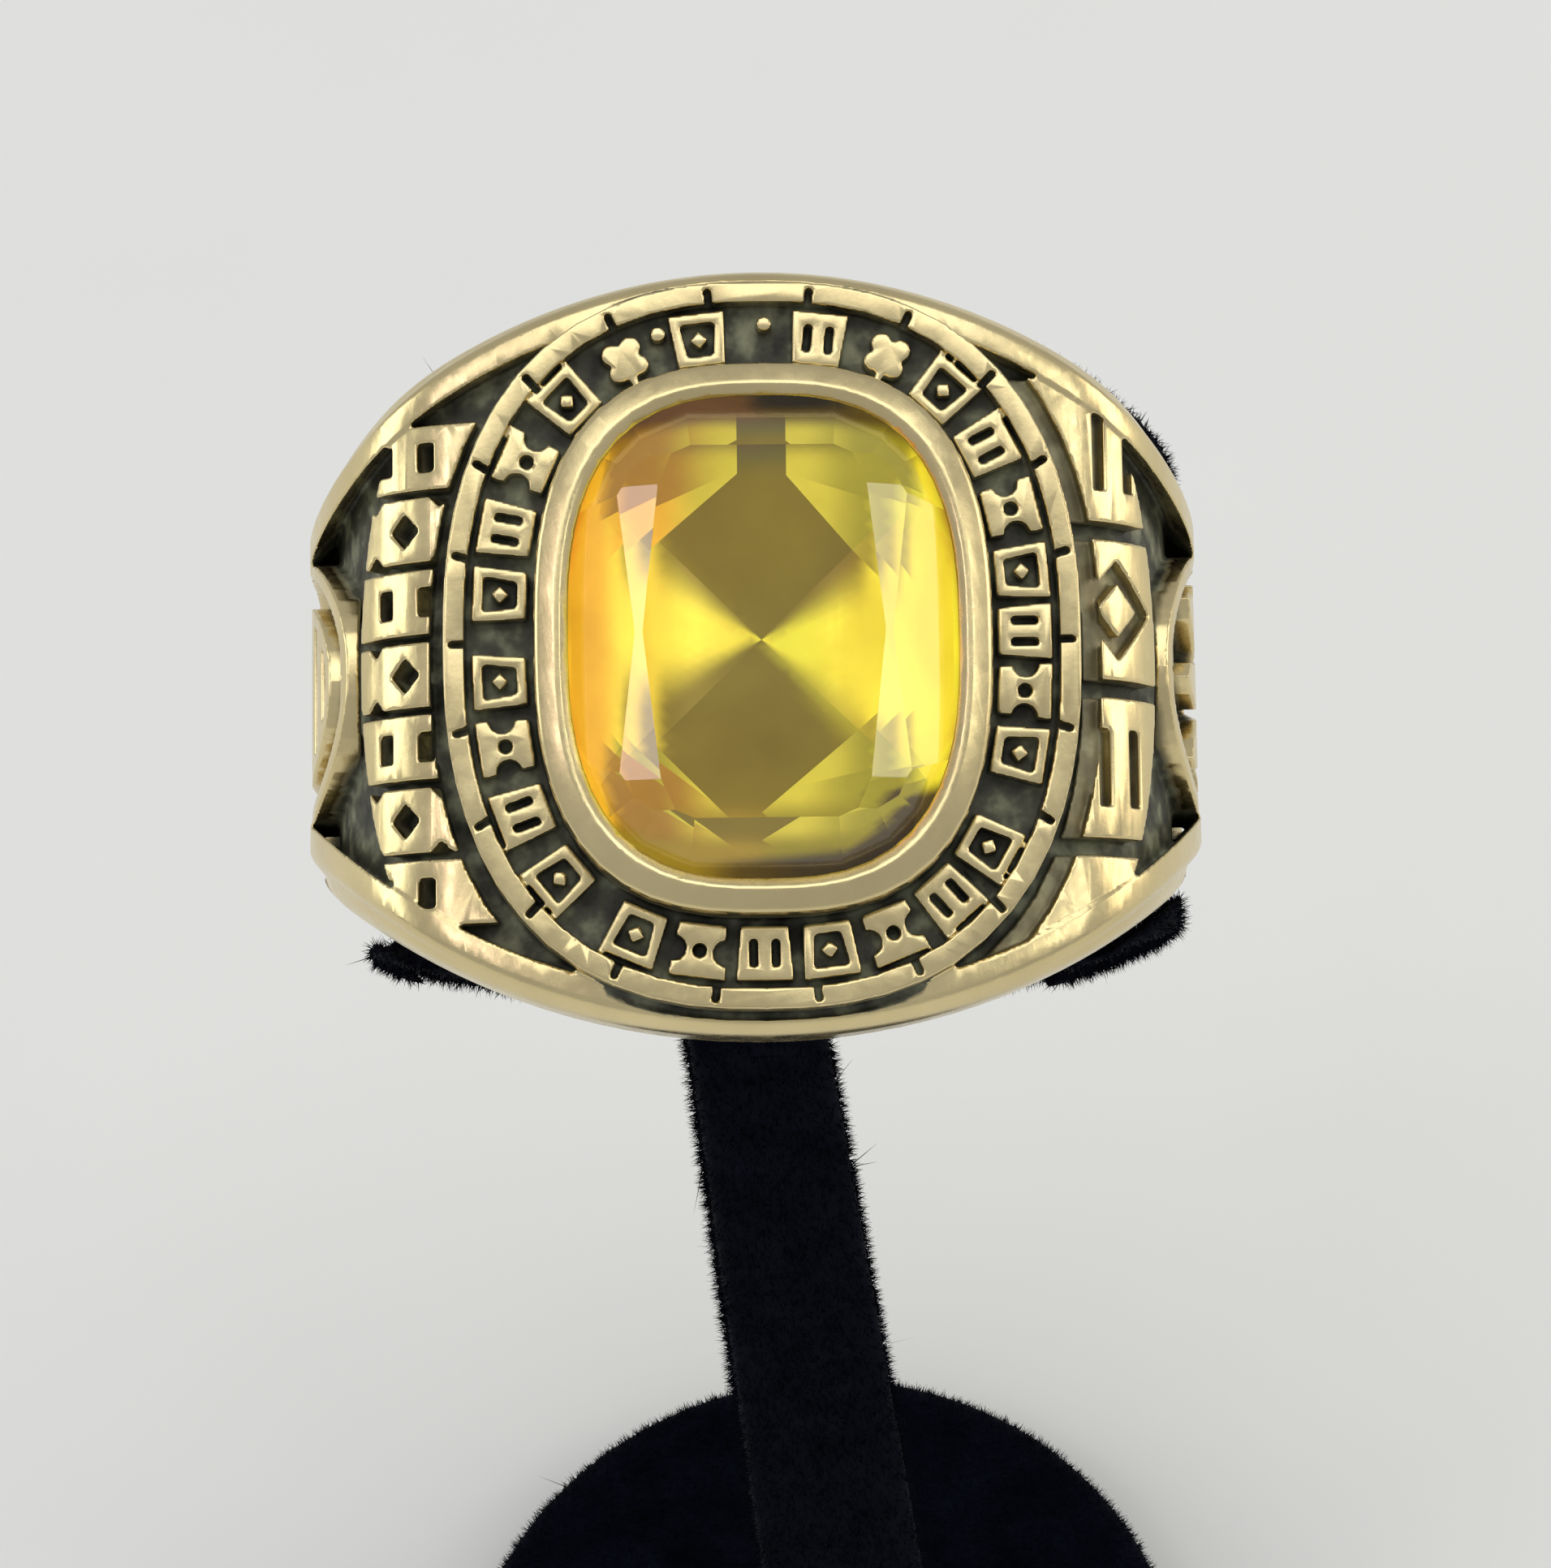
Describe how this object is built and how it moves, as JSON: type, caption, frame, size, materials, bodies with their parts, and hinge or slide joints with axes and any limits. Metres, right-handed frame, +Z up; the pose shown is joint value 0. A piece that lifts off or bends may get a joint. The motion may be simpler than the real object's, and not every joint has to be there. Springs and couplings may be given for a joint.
{
  "type": "class ring on clip stand",
  "caption": "Heavy gold class ring with a faceted yellow cushion stone in a bezel, a tiled oval border and carved shoulders, pushed on a flocked clip stand.",
  "frame": {"origin": "centre of the foot plate's flat underside", "axes": "+Z up along the stem, -Y towards the side that the stone faces, +X to the right seen from there"},
  "size_m": [0.0277, 0.0294, 0.0609],
  "materials": {
    "gold": "satin pale yellow gold with dark patina in the sunk places",
    "stone": "polished, faceted, transparent golden yellow",
    "flock": "black velvet flock"
  },
  "bodies": {
    "root": {"ring_casting": "gold", "stone": "stone", "clip": "flock", "foot_plate": "flock"}
  },
  "joints": []
}
